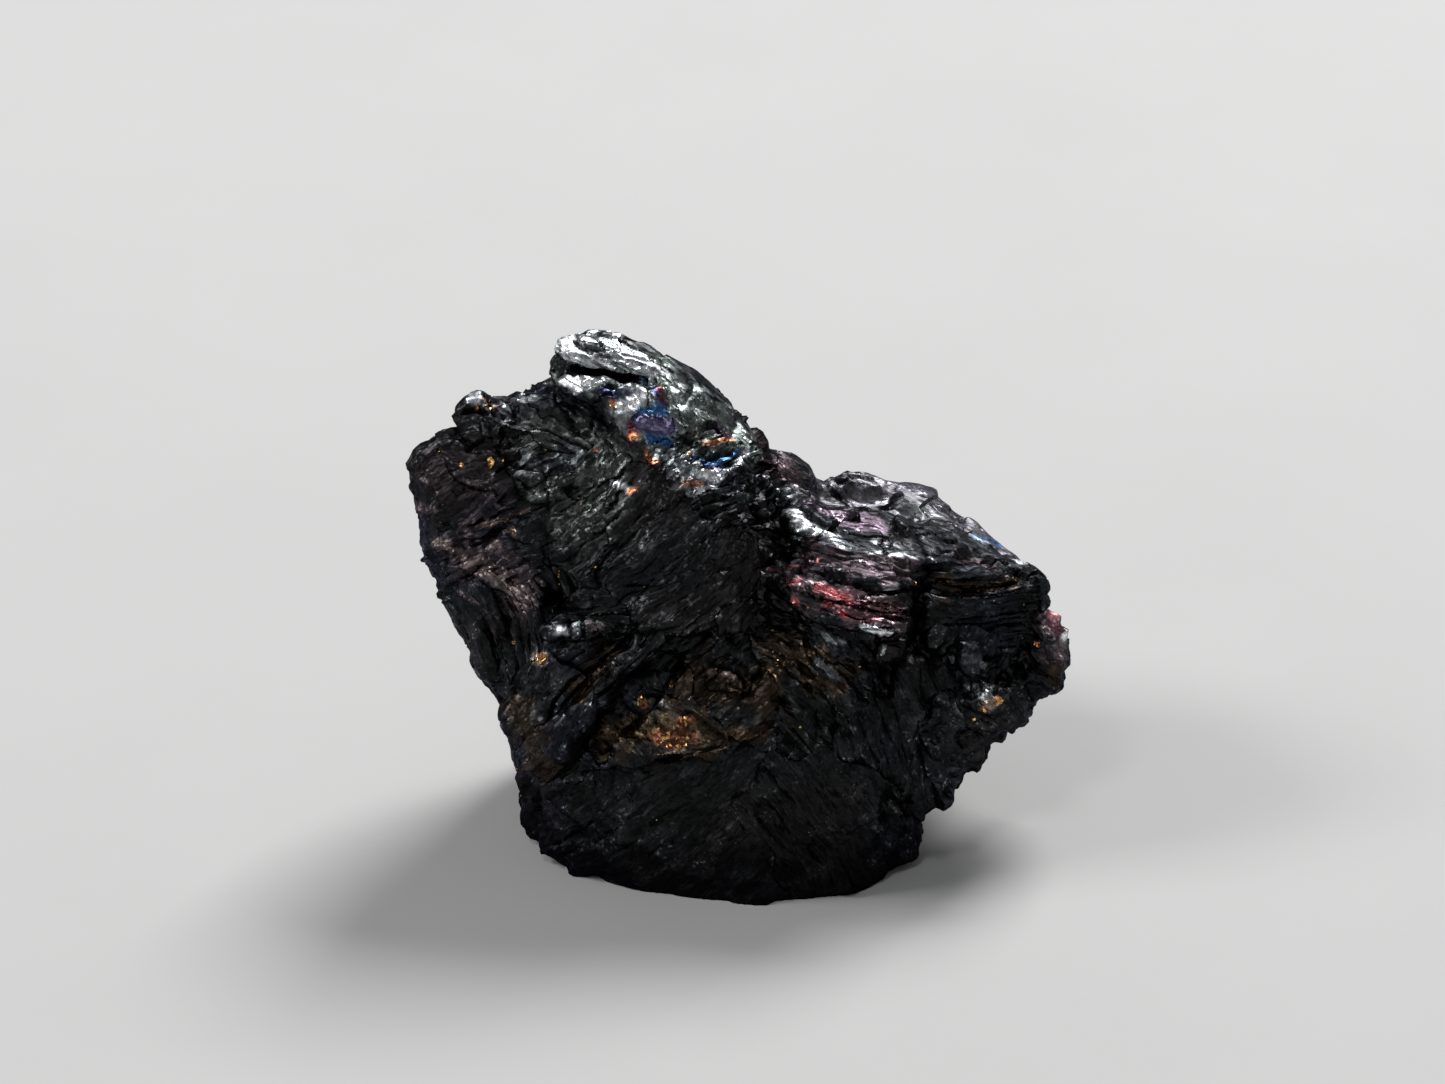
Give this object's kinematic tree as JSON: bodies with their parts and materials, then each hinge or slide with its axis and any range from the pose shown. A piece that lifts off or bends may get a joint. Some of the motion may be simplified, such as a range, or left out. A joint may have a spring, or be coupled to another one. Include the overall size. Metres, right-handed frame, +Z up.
{
  "type": "covellite specimen",
  "caption": "Small free-standing lump of dark foliated covellite with a bright raised crest, a layered ledge, a domed side lobe and a flat underside to rest on.",
  "frame": {"origin": "middle of the bounding box at the level of the flat underside that the lump rests on", "axes": "+Z up from the flat underside; +X along the lump's length, from the tall left block to the small right tip; -Y towards the front that the picture shows"},
  "size_m": [0.025, 0.0156, 0.0189],
  "materials": {
    "covellite": "submetallic, near black with an indigo tarnish; bright where its sheets face the light"
  },
  "bodies": {
    "root": {"covellite_specimen": "covellite"}
  },
  "joints": []
}
